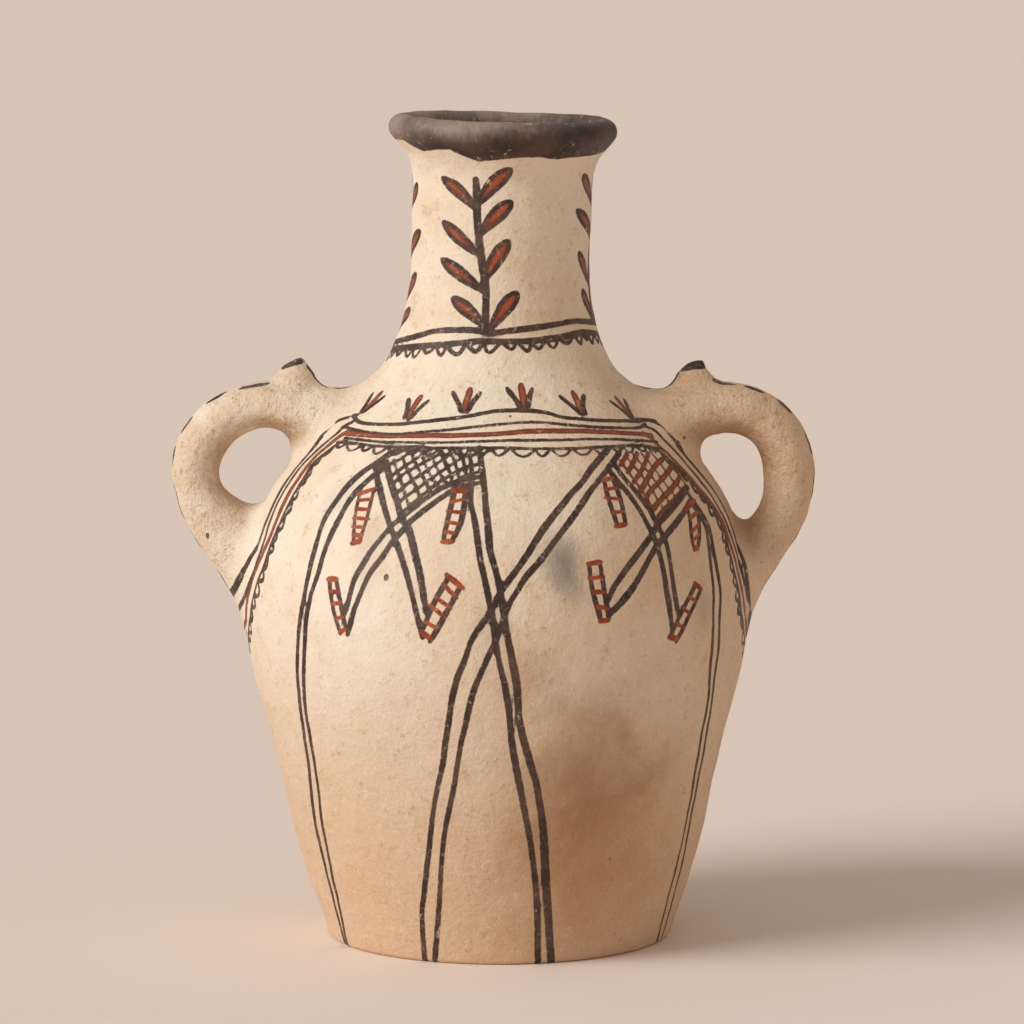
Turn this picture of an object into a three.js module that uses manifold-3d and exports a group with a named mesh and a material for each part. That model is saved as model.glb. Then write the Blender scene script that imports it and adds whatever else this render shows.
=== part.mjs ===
import * as THREE from 'three';
import { mergeVertices } from 'three/addons/utils/BufferGeometryUtils.js';
import Module from 'manifold-3d';

// A hand-built, two-handled pottery jar. Millimetres, +Z up, the middle of the
// foot at the origin, the two handles on +X and -X.
// The jar is raised in stages that stiffen one after another: a flat slab, four
// wall courses, a rolled rim, two handles and a spur on top of each handle.

// Heights of the stages, from the slab up
const slabHeight = 10;
const lowerCourseHeight = 85;
const bellyRise = 70;          // lower course's top edge to the widest place
const bellyFall = 38;          // widest place to the shoulder course
const shoulderHeight = 82;
const neckHeight = 99;
const rimRollHeight = 16;

// Outer radii
const footRadius = 84.5;
const slabTopRadius = 86.6;
const lowerTopRadius = 109.4;
const bellyRadius = 122.3;
const shoulderRadius = 116;    // at the shoulder course's lower edge
const rootRadius = 51.8;       // where the neck starts
const neckRadius = 42.8;       // at the narrowest place
const neckWaistDrop = 31;      // neck's top edge to its narrowest place
const neckTopRadius = 48.2;

// How far the outline leans out (plus) or in (minus) at those places, degrees
const slabTopLean = 21;
const lowerTopLean = 14;
const shoulderLean = -17;
const shoulderMidLean = -46;
const rootLean = -26;
const neckTopLean = 38;

// The shoulder's turning place, between the shoulder course's two edges
const shoulderMidRadius = 76;
const shoulderMidRise = 54;

// Walls and joints
const footRound = 3;
const lowerWall = 9;
const upperWall = 7;
const scarf = 4;               // how much higher a joint is on the inside
const slabLip = 7;             // width of the slab's raised edge inside the wall
const rollRadius = 6;
const rollOverhang = 0.7;      // roll's middle outside the neck's top radius
const lutingGap = 0.3;

// Handles: the loop stands off the wall, measured from the belly's widest radius
const handleStandOff = 34;     // widest radius to the outside of the handle
const handleTopDrop = 14;      // shoulder course's top edge to the handle's top
const handleThickness = 23;
const handleWidth = 28;
const upperRootThickness = 30;
const upperRootWidth = 42;
const lowerArmThickness = 28;
const lowerArmWidth = 33;
const lowerRootThickness = 36;
const lowerRootWidth = 46;
const upperRootRise = 51;      // above the shoulder course's lower edge
const upperArmReach = 14;      // out from the wall
const upperArmRise = 3;        // above the upper root
const upperArmThicker = 2;
const upperArmWider = 6;
const bendInset = 7.5;         // the bend's middle line, in from the elbow's
const bendDrop = 9.5;          // below the loop's top
const elbowRise = 25;
const backInset = 4;           // under the elbow, in from the elbow's line
const backDrop = 18.5;
const backFuller = 1;          // thickness and width
const lowerArmReach = 5.5;
const lowerArmDrop = 14;       // below the shoulder course's lower edge
const lowerRootDrop = 43;
const topSpan = 25.5;          // elbow's outside to the loop's top
const rootDepth = 16;          // how far the trimmed ends run into the wall

// Spurs on the handles
const spurHeight = 12.5;
const spurBaseLength = 30;
const spurBaseWidth = 24;
const spurInset = 24;          // loop's top to the spur's tip
const spurLean = 3.5;          // tip leans towards the neck
const spurSeat = 7;            // how far the cut base runs into the handle

// Fineness of the solids; the step lists follow the outline's curves, from the foot up
const outerSteps = [4, 4, 3, 5, 4, 5, 4];
const innerSteps = [3, 3, 2, 4, 2, 3, 3];
const turns = 56;
const handleSides = 14;
const handleSteps = 22;
const spurSides = 12;
const rollSteps = 8;
const footSteps = 4;

const slipColour = 0xdcc39c;
const handleColour = 0xd6b98f;
const baseColour = 0xc39a6c;
const rimColour = 0x43342e;

const lowerTopZ = slabHeight + lowerCourseHeight;
const bellyZ = lowerTopZ + bellyRise;
const shoulderZ = bellyZ + bellyFall;
const rootZ = shoulderZ + shoulderHeight;
const neckTopZ = rootZ + neckHeight;
const crestZ = neckTopZ + rimRollHeight;

// The outer outline, from the slab's top edge to the neck's top edge, as smooth
// curves between its driving places: radius, height, lean
const outlinePlaces = [
  [slabTopRadius, slabHeight, slabTopLean],
  [lowerTopRadius, lowerTopZ, lowerTopLean],
  [bellyRadius, bellyZ, 0],
  [shoulderRadius, shoulderZ, shoulderLean],
  [shoulderMidRadius, shoulderZ + shoulderMidRise, shoulderMidLean],
  [rootRadius, rootZ, rootLean],
  [neckRadius, neckTopZ - neckWaistDrop, 0],
  [neckTopRadius, neckTopZ, neckTopLean],
];

function leanVector(degrees, length) {
  const angle = THREE.MathUtils.degToRad(degrees);
  return new THREE.Vector2(Math.sin(angle), Math.cos(angle)).multiplyScalar(length);
}

function outlineCurves() {
  const curves = [];
  for (let i = 1; i < outlinePlaces.length; i += 1) {
    const [r0, z0, lean0] = outlinePlaces[i - 1];
    const [r1, z1, lean1] = outlinePlaces[i];
    const start = new THREE.Vector2(r0, z0);
    const end = new THREE.Vector2(r1, z1);
    const reach = start.distanceTo(end) / 3;
    curves.push(new THREE.CubicBezierCurve(
      start,
      start.clone().add(leanVector(lean0, reach)),
      end.clone().sub(leanVector(lean1, reach)),
      end,
    ));
  }
  return curves;
}

const curves = outlineCurves();

// Wall thickness thins steadily from the slab to the neck's top edge
function wallAt(z) {
  const share = (z - slabHeight) / (neckTopZ - slabHeight);
  return THREE.MathUtils.lerp(lowerWall, upperWall, share);
}

// Inside of the wall, square to the outline
function innerPoint(curve, t) {
  const point = curve.getPoint(t);
  const along = curve.getTangent(t);
  const wall = wallAt(point.y);
  return new THREE.Vector2(point.x - along.y * wall, point.y + along.x * wall);
}

// A joint runs up and in from the outer edge of a course to its inner edge
function jointInner(curveIndex, t) {
  const point = innerPoint(curves[curveIndex], t);
  const along = curves[curveIndex].getTangent(t);
  return point.add(along.multiplyScalar(scarf));
}

const slabJoint = jointInner(0, 0);
const lowerJoint = jointInner(1, 0);
const shoulderJoint = jointInner(3, 0);
const rootJoint = jointInner(5, 0);
const neckJoint = jointInner(6, 1);

function outerRun(firstCurve, lastCurve) {
  const points = [];
  for (let i = firstCurve; i <= lastCurve; i += 1) {
    const count = outerSteps[i];
    for (let j = 0; j < count; j += 1) points.push(curves[i].getPoint(j / count));
  }
  points.push(curves[lastCurve].getPoint(1));
  return points;
}

// Inner points that lie between a course's two joints, from the top down
function innerRun(firstCurve, lastCurve, lowest, highest) {
  const points = [];
  for (let i = firstCurve; i <= lastCurve; i += 1) {
    const count = innerSteps[i];
    for (let j = 0; j <= count; j += 1) {
      const point = innerPoint(curves[i], j / count);
      if (point.y > lowest + scarf / 2 && point.y < highest - scarf / 2) points.push(point);
    }
  }
  const spaced = points.filter((p, i) => i === 0 || p.distanceTo(points[i - 1]) > scarf / 2);
  return spaced.reverse();
}

// Turned about the upright axis
function turned(points) {
  return new THREE.LatheGeometry(points, turns).rotateX(Math.PI / 2);
}

function courseGeometry(firstCurve, lastCurve, lowInner, highInner) {
  const start = curves[firstCurve].getPoint(0);
  return turned([
    ...outerRun(firstCurve, lastCurve),
    highInner,
    ...innerRun(firstCurve, lastCurve, lowInner.y, highInner.y),
    lowInner,
    start,
  ]);
}

// An arc in the section, from one angle to the other, as points
function arcPoints(x, y, radius, fromDegrees, toDegrees, count) {
  const points = [];
  for (let i = 0; i <= count; i += 1) {
    const angle = THREE.MathUtils.degToRad(THREE.MathUtils.lerp(fromDegrees, toDegrees, i / count));
    points.push(new THREE.Vector2(x + radius * Math.cos(angle), y + radius * Math.sin(angle)));
  }
  return points;
}

function slabGeometry() {
  const edge = arcPoints(footRadius - footRound, footRound, footRound, -90, -slabTopLean, footSteps);
  const profile = [
    new THREE.Vector2(0, 0),
    ...edge,
    curves[0].getPoint(0),
    slabJoint,
    new THREE.Vector2(slabJoint.x - slabLip, slabHeight),
    new THREE.Vector2(0, slabHeight),
  ];
  return turned(profile);
}

function rimGeometry() {
  const middle = neckTopRadius + rollOverhang;
  const height = crestZ - rollRadius;
  return turned([
    curves[6].getPoint(1),
    ...arcPoints(middle, height, rollRadius, -neckTopLean, 180, rollSteps),
    neckJoint,
    curves[6].getPoint(1),
  ]);
}

const wasm = await Module();
wasm.setup();

function toSolid(geometry) {
  const bare = geometry.clone();
  bare.deleteAttribute('normal');
  bare.deleteAttribute('uv');
  const merged = mergeVertices(bare, 1e-4);
  return new wasm.Manifold(new wasm.Mesh({
    numProp: 3,
    vertProperties: new Float32Array(merged.attributes.position.array),
    triVerts: new Uint32Array(merged.index.array),
  }));
}

function toGeometry(solid) {
  const mesh = solid.getMesh();
  const geometry = new THREE.BufferGeometry();
  geometry.setAttribute('position', new THREE.BufferAttribute(mesh.vertProperties, 3));
  geometry.setIndex(new THREE.BufferAttribute(mesh.triVerts, 1));
  geometry.computeVertexNormals();
  return geometry;
}

// The jar's outside as one filled shape, grown by the luting gap: what is
// joined on to the wall is trimmed by it
function wallCutter() {
  const grown = [];
  for (const curve of curves) {
    for (let j = 0; j <= 6; j += 1) {
      const point = curve.getPoint(j / 6);
      const along = curve.getTangent(j / 6);
      const grownPoint = new THREE.Vector2(point.x + along.y * lutingGap, point.y - along.x * lutingGap);
      if (!grown.length || grownPoint.distanceTo(grown[grown.length - 1]) > lutingGap) grown.push(grownPoint);
    }
  }
  const top = grown[grown.length - 1];
  const bottom = grown[0];
  return toSolid(turned([
    new THREE.Vector2(0, bottom.y), ...grown, new THREE.Vector2(0, top.y),
  ]));
}

// Radius of the outside at a height
function wallRadius(z) {
  for (const curve of curves) {
    if (z > curve.v3.y) continue;
    let low = 0;
    let high = 1;
    for (let i = 0; i < 30; i += 1) {
      const middle = (low + high) / 2;
      if (curve.getPoint(middle).y < z) low = middle;
      else high = middle;
    }
    return curve.getPoint(low).x;
  }
  return neckTopRadius;
}

// Middle line of a handle in the XZ plane, from the upper root round to the
// lower one, with the section's thickness and width at each place
const loopOutside = bellyRadius + handleStandOff;
const loopTopZ = rootZ - handleTopDrop - handleThickness / 2;
const upperRootZ = shoulderZ + upperRootRise;
const elbowZ = shoulderZ + elbowRise;
const lowerArmZ = shoulderZ - lowerArmDrop;
const lowerRootZ = shoulderZ - lowerRootDrop;
const loopTopX = loopOutside - handleThickness / 2 - topSpan;
const elbowX = loopOutside - handleThickness / 2;

const handlePlaces = [
  [wallRadius(upperRootZ) - rootDepth, upperRootZ, upperRootThickness, upperRootWidth],
  [wallRadius(upperRootZ) + upperArmReach, upperRootZ + upperArmRise,
    handleThickness + upperArmThicker, handleWidth + upperArmWider],
  [loopTopX, loopTopZ, handleThickness, handleWidth],
  [elbowX - bendInset, loopTopZ - bendDrop, handleThickness, handleWidth],
  [elbowX, elbowZ, handleThickness, handleWidth],
  [elbowX - backInset, elbowZ - backDrop, handleThickness + backFuller, handleWidth + backFuller],
  [wallRadius(lowerArmZ) + lowerArmReach, lowerArmZ, lowerArmThickness, lowerArmWidth],
  [wallRadius(lowerRootZ) - rootDepth, lowerRootZ, lowerRootThickness, lowerRootWidth],
];

const middleLine = new THREE.CatmullRomCurve3(
  handlePlaces.map(([x, z]) => new THREE.Vector3(x, 0, z)), false, 'centripetal',
);
const sectionLine = new THREE.CatmullRomCurve3(
  handlePlaces.map(([, , thickness, width]) => new THREE.Vector3(thickness, width, 0)), false, 'centripetal',
);

// One closed skin through rings of equal point counts
function loft(rings) {
  const sides = rings[0].length;
  const positions = rings.flat().flatMap((p) => [p.x, p.y, p.z]);
  const indices = [];
  const at = (ring, side) => ring * sides + (side % sides);
  for (let i = 0; i + 1 < rings.length; i += 1) {
    for (let j = 0; j < sides; j += 1) {
      indices.push(at(i, j), at(i, j + 1), at(i + 1, j + 1));
      indices.push(at(i, j), at(i + 1, j + 1), at(i + 1, j));
    }
  }
  for (const [ring, first, second] of [[0, 1, 0], [rings.length - 1, 0, 1]]) {
    const middle = rings[ring].reduce((sum, p) => sum.add(p), new THREE.Vector3()).divideScalar(sides);
    const centre = positions.length / 3;
    positions.push(middle.x, middle.y, middle.z);
    for (let j = 0; j < sides; j += 1) indices.push(centre, at(ring, j + first), at(ring, j + second));
  }
  const geometry = new THREE.BufferGeometry();
  geometry.setAttribute('position', new THREE.Float32BufferAttribute(positions, 3));
  geometry.setIndex(indices);
  return geometry;
}

// The whole swept handle, before its ends are trimmed, grown by a clearance
function handleSweep(grow) {
  const rings = [];
  for (let i = 0; i <= handleSteps; i += 1) {
    const t = i / handleSteps;
    const centre = middleLine.getPoint(t);
    const along = middleLine.getTangent(t);
    const section = sectionLine.getPoint(t);
    const across = new THREE.Vector3(along.z, 0, -along.x);
    const ring = [];
    for (let j = 0; j < handleSides; j += 1) {
      const angle = (j / handleSides) * Math.PI * 2;
      ring.push(centre.clone()
        .addScaledVector(across, Math.cos(angle) * (section.x / 2 + grow))
        .add(new THREE.Vector3(0, Math.sin(angle) * (section.y / 2 + grow), 0)));
    }
    rings.push(ring);
  }
  return toSolid(loft(rings));
}

// Spur: an oval cone with a rounded tip that leans towards the neck
function spurBody() {
  const tipX = loopTopX - spurInset;
  const seatZ = loopTopZ + handleThickness / 2;
  const levels = [
    [-spurSeat, 1.12, 1.12],
    [0, 1, 1],
    [0.3, 0.72, 0.72],
    [0.62, 0.43, 0.46],
    [0.88, 0.24, 0.27],
    [1, 0.1, 0.1],
  ];
  const rings = levels.map(([level, length, width]) => {
    const share = Math.max(level, 0);
    const z = level < 0 ? seatZ + level : seatZ + level * spurHeight;
    const halfLength = length * spurBaseLength / 2;
    const x = tipX + spurLean * (1 - share);
    const ring = [];
    for (let j = 0; j < spurSides; j += 1) {
      const angle = (j / spurSides) * Math.PI * 2;
      ring.push(new THREE.Vector3(
        x + Math.cos(angle) * halfLength,
        Math.sin(angle) * width * spurBaseWidth / 2,
        z,
      ));
    }
    return ring;
  });
  return toSolid(loft(rings));
}

const trimmer = wallCutter();
const handleSolid = handleSweep(0).subtract(trimmer);
const spurSolid = spurBody().subtract(handleSweep(lutingGap)).subtract(trimmer);

const clay = (color, roughness) => new THREE.MeshStandardMaterial({ color, roughness, metalness: 0 });
const slipClay = clay(slipColour, 0.85);
const handleClay = clay(handleColour, 0.88);
const baseClay = clay(baseColour, 0.92);
const rimPaint = clay(rimColour, 0.6);

const jar = new THREE.Group();

function addPiece(name, geometry, material) {
  const piece = new THREE.Mesh(geometry, material);
  piece.name = name;
  jar.add(piece);
}

addPiece('base_slab', slabGeometry(), baseClay);
addPiece('lower_wall', courseGeometry(0, 0, slabJoint, lowerJoint), slipClay);
addPiece('belly_wall', courseGeometry(1, 2, lowerJoint, shoulderJoint), slipClay);
addPiece('shoulder_wall', courseGeometry(3, 4, shoulderJoint, rootJoint), slipClay);
addPiece('neck_wall', courseGeometry(5, 6, rootJoint, neckJoint), slipClay);
addPiece('rim_roll', rimGeometry(), rimPaint);

addPiece('handle_right', toGeometry(handleSolid), handleClay);
addPiece('spur_right', toGeometry(spurSolid), handleClay);
addPiece('handle_left', toGeometry(handleSolid.mirror([1, 0, 0])), handleClay);
addPiece('spur_left', toGeometry(spurSolid.mirror([1, 0, 0])), handleClay);

export default jar;
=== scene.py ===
import math
import random

import bpy
import numpy as np
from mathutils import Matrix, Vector


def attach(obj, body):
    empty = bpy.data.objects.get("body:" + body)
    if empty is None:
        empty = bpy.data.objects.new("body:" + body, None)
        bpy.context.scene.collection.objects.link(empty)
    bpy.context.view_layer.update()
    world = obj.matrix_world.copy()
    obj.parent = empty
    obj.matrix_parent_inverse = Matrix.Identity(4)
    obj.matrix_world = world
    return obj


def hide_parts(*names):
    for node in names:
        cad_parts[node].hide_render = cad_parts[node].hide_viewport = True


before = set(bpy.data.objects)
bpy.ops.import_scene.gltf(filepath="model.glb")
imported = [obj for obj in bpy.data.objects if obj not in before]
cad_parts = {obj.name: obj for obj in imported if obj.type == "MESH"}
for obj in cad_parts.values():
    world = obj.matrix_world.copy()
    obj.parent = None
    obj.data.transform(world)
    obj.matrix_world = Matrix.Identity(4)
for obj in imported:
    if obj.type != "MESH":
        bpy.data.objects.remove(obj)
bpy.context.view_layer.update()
print("frame loaded")

mm = 0.001


# camera at the photograph's viewing angle

cameraSetup = {
    "target": (0.0083, 0.0, 0.2069),
    "distance": 2.712,
    "tilt": 7.25,
    "lens": 196.0,
    "sensor": 36.0,
    "pixels": 1024,
}


def addCamera():
    tilt = math.radians(cameraSetup["tilt"])
    back = Vector((0, -math.cos(tilt), math.sin(tilt))) * cameraSetup["distance"]
    bpy.ops.object.camera_add(
        location=Vector(cameraSetup["target"]) + back,
        rotation=(math.radians(90) - tilt, 0, 0),
    )
    camera = bpy.context.object
    camera.data.lens = cameraSetup["lens"]
    camera.data.sensor_width = cameraSetup["sensor"]
    camera.data.clip_end = 50
    bpy.context.scene.camera = camera


addCamera()
print("camera placed")


# small helpers

def deselectAll():
    if bpy.context.object and bpy.context.object.mode != "OBJECT":
        bpy.ops.object.mode_set(mode="OBJECT")
    bpy.ops.object.select_all(action="DESELECT")


def makeActive(piece):
    deselectAll()
    piece.select_set(True)
    bpy.context.view_layer.objects.active = piece


def selectAll():
    bpy.ops.mesh.select_all(action="SELECT")


def editAll(piece):
    makeActive(piece)
    bpy.ops.object.mode_set(mode="EDIT")
    selectAll()


def leaveEdit(outwards=False):
    if outwards:
        bpy.ops.mesh.normals_make_consistent(inside=False)
    bpy.ops.object.mode_set(mode="OBJECT")


def startRing(sides):
    deselectAll()
    bpy.ops.mesh.primitive_circle_add(vertices=sides, radius=1, location=(0, 0, 0))
    return bpy.context.object


def growBy(step):
    bpy.ops.mesh.extrude_region_move(TRANSFORM_OT_translate={"value": step})


def scaleBy(scales, middle=(0, 0, 0)):
    bpy.ops.transform.resize(value=scales, center_override=middle)


def turnBy(angle, middle=(0, 0, 0), axis="Y"):
    bpy.ops.transform.rotate(value=angle, orient_axis=axis, center_override=middle)


def readValues(rows, key, width=1):
    values = np.empty(len(rows) * width)
    rows.foreach_get(key, values)
    return values.reshape(-1, width) if width > 1 else values


def vertexPlaces(piece):
    return readValues(piece.data.vertices, "co", 3)


def movePoints(piece, places):
    piece.data.vertices.foreach_set("co", places.ravel())
    piece.data.update()


def readRows(text):
    return [tuple(float(v) for v in row.split(",")) for row in text.split()]


def finishWith(piece, kind, **settings):
    makeActive(piece)
    modifier = piece.modifiers.new(kind, kind)
    for key, value in settings.items():
        setattr(modifier, key, value)
    bpy.ops.object.modifier_apply(modifier=modifier.name)


def cloudTexture(name, size, depth=2):
    texture = bpy.data.textures.new(name, "CLOUDS")
    texture.noise_scale = size
    texture.noise_depth = depth
    return texture


def smoothStep(low, high, value):
    share = np.clip((value - low) / (high - low), 0, 1)
    return share * share * (3 - 2 * share)


def displace(piece, name, size, strength, middle=0.5, group=""):
    finishWith(piece, "DISPLACE", texture=cloudTexture(name, size), strength=strength,
               texture_coords="LOCAL", vertex_group=group, mid_level=middle)


def wrapOnto(piece, target, group, seat):
    finishWith(piece, "SHRINKWRAP", target=target, vertex_group=group, offset=seat,
               wrap_method="NEAREST_SURFACEPOINT", wrap_mode="ABOVE_SURFACE")


def storeLayers(piece, layers):
    for name, values in layers.items():
        layer = piece.data.attributes.new(name, "FLOAT", "POINT")
        layer.data.foreach_set("value", (np.zeros(len(layer.data)) + values).astype(np.float32))


# the jar's outline, millimetres: radius, height, lean in degrees

jarShape = {
    "places": [
        (86.6, 10, 21), (109.4, 95, 14), (122.3, 165, 0), (116, 203, -17),
        (76, 257, -46), (51.8, 285, -26), (42.8, 353, 0), (48.2, 384, 38),
    ],
    "footRadius": 84.5,
    "footRound": 3,
    "lowerWall": 9,
    "upperWall": 7,
    "scarf": 4,
    "slabLip": 7,
    "rollRadius": 6,
    "rollOverhang": 0.7,
    "crest": 400,
    "outerStep": 1.15,
    "innerStep": 4,
    "steps": 560,
    "doublings": 3,
    "weld": 0.02,
    "inkInside": 376,
}
courses = [
    ("base_slab", "base_clay"), ("lower_wall", "slip_clay"), ("belly_wall", "slip_clay"),
    ("shoulder_wall", "slip_clay"), ("neck_wall", "slip_clay"), ("rim_roll", "rim_paint"),
]


def leanStep(degrees, length):
    angle = math.radians(degrees)
    return Vector((math.sin(angle), math.cos(angle))) * length


def outlinePoint(index, share):
    r0, z0, lean0 = jarShape["places"][index]
    r1, z1, lean1 = jarShape["places"][index + 1]
    start, end = Vector((r0, z0)), Vector((r1, z1))
    reach = (end - start).length / 3
    pull0 = start + leanStep(lean0, reach)
    pull1 = end - leanStep(lean1, reach)
    rest = 1 - share
    point = rest**3 * start + 3 * rest**2 * share * pull0 + 3 * rest * share**2 * pull1 + share**3 * end
    slope = rest**2 * (pull0 - start) + 2 * rest * share * (pull1 - pull0) + share**2 * (end - pull1)
    return point, slope.normalized()


def wallInside(index, share, lift=0):
    point, along = outlinePoint(index, share)
    low, high = jarShape["places"][0][1], jarShape["places"][-1][1]
    part = (point.y - low) / (high - low)
    wall = jarShape["lowerWall"] + (jarShape["upperWall"] - jarShape["lowerWall"]) * part
    return point + Vector((-along.y, along.x)) * wall + along * lift


def arcPoints(middle, radius, start, end, count):
    points = []
    for i in range(count + 1):
        angle = math.radians(start + (end - start) * i / count)
        points.append(middle + Vector((math.cos(angle), math.sin(angle))) * radius)
    return points


def spread(points, step):
    spaced = [points[0]]
    for point in points[1:]:
        start = spaced[-1].copy()
        count = max(1, round((point - start).length / step))
        spaced += [start.lerp(point, (i + 1) / count) for i in range(count)]
    return spaced


jointPlaces = [(0, 0), (1, 0), (3, 0), (5, 0), (6, 1)]
innerJoints = [wallInside(index, share, jarShape["scarf"]) for index, share in jointPlaces]
outerJoints = [outlinePoint(index, share)[0] for index, share in jointPlaces]
outlineSpans = len(jarShape["places"]) - 1


def outsidePoints():
    points = []
    for index in range(outlineSpans):
        points += [outlinePoint(index, i / 30)[0] for i in range(30)]
    return points + [outerJoints[-1]]


def insidePoints():
    points = []
    for index in range(outlineSpans):
        points += [wallInside(index, i / 12) for i in range(12)]
    clear = jarShape["scarf"] / 2
    points = [p for p in points if all(abs(p.y - joint.y) > clear for joint in innerJoints)]
    points = [p for p in points if innerJoints[0].y < p.y < innerJoints[-1].y]
    return sorted(points + innerJoints[1:-1], key=lambda p: p.y)


def sectionPoints():
    floorEdge = Vector((innerJoints[0].x - jarShape["slabLip"], outerJoints[0].y))
    floor = spread([Vector((0, floorEdge.y)), floorEdge, innerJoints[0]], 6)
    inside = spread([innerJoints[0], *insidePoints(), innerJoints[-1]], jarShape["innerStep"])
    roll = jarShape["rollRadius"]
    middle = Vector((outerJoints[-1].x + jarShape["rollOverhang"], jarShape["crest"] - roll))
    lip = arcPoints(middle, roll, 180, -jarShape["places"][-1][2], 22)
    lip = spread([innerJoints[-1], *lip, outerJoints[-1]], jarShape["outerStep"])
    outside = spread(outsidePoints()[::-1], jarShape["outerStep"])
    rounding = jarShape["footRound"]
    foot = arcPoints(Vector((jarShape["footRadius"] - rounding, rounding)), rounding, -21, -90, 5)
    foot = spread([outerJoints[0], *foot], jarShape["outerStep"])
    under = spread([foot[-1], Vector((0, 0))], 5)
    return floor + inside[1:] + lip[1:] + outside[1:] + foot[1:] + under[1:]


outsideTable = np.array([(jarShape["footRadius"], 0)] + [(p.x, p.y) for p in outsidePoints()])
runTable = np.concatenate([[0], np.cumsum(np.hypot(*np.diff(outsideTable, axis=0).T))])


def outerRadius(height):
    return np.interp(height, outsideTable[:, 1], outsideTable[:, 0])


def runAt(height):
    return np.interp(height, outsideTable[:, 1], runTable)


def heightAt(run):
    return np.interp(run, runTable, outsideTable[:, 1])


jointIndex = {}


def turnJar():
    deselectAll()
    points = sectionPoints()
    bpy.ops.mesh.primitive_plane_add(size=0.002, location=(0, 0, 0))
    piece = bpy.context.object
    editAll(piece)
    bpy.ops.mesh.merge(type="CENTER")
    bpy.ops.transform.translate(value=(points[0].x * mm, 0, points[0].y * mm))
    for before, after in zip(points, points[1:]):
        step = (after - before) * mm
        growBy((step.x, 0, step.y))
    leaveEdit()
    section = np.array([(p.x, p.y) for p in points])

    def sectionIndex(spot):
        return int(np.argmin(np.hypot(*(section - tuple(spot)).T)))

    storeLayers(piece, {"along": np.array([sectionIndex((x, z)) for x, _, z in vertexPlaces(piece) / mm])})
    for i in range(len(jointPlaces)):
        jointIndex["inner", i] = sectionIndex(innerJoints[i])
        jointIndex["outer", i] = sectionIndex(outerJoints[i])
    jointIndex["crest"] = int(np.argmax(section[:, 1]))
    editAll(piece)
    doublings = jarShape["doublings"]
    sector = 2 * math.pi / 2**doublings
    bpy.ops.mesh.spin(steps=jarShape["steps"] // 2**doublings, dupli=False, angle=sector,
                      center=(0, 0, 0), axis=(0, 0, 1))
    for copies in (2**i for i in range(doublings)):
        selectAll()
        bpy.ops.mesh.duplicate()
        turnBy(sector * copies, axis="Z")
    selectAll()
    bpy.ops.mesh.remove_doubles(threshold=jarShape["weld"] * mm)
    leaveEdit(outwards=True)
    return piece


jar = turnJar()
along = readValues(jar.data.attributes["along"].data, "value")
print("jar turned:", len(jar.data.vertices), "vertices")


# brushwork: signed distances in millimetres, below zero inside a stroke

farAway = 6.0


def smoothPath(points, parts=5):
    known = [np.array(p, float) for p in points]
    if len(known) == 2:
        return np.array([known[0] + (known[1] - known[0]) * i / parts for i in range(parts + 1)])
    known = [2 * known[0] - known[1]] + known + [2 * known[-1] - known[-2]]
    path = []
    for a, b, c, d in zip(known, known[1:], known[2:], known[3:]):
        for i in range(parts):
            t = i / parts
            path.append(0.5 * (2 * b + (c - a) * t + (2 * a - 5 * b + 4 * c - d) * t**2
                               + (3 * b - a - 3 * c + d) * t**3))
    path.append(known[-2])
    return np.array(path)


def moved(point, right, up):
    angle, height = point
    return angle + math.degrees(right / outerRadius(height)), float(heightAt(runAt(height) + up))


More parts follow.
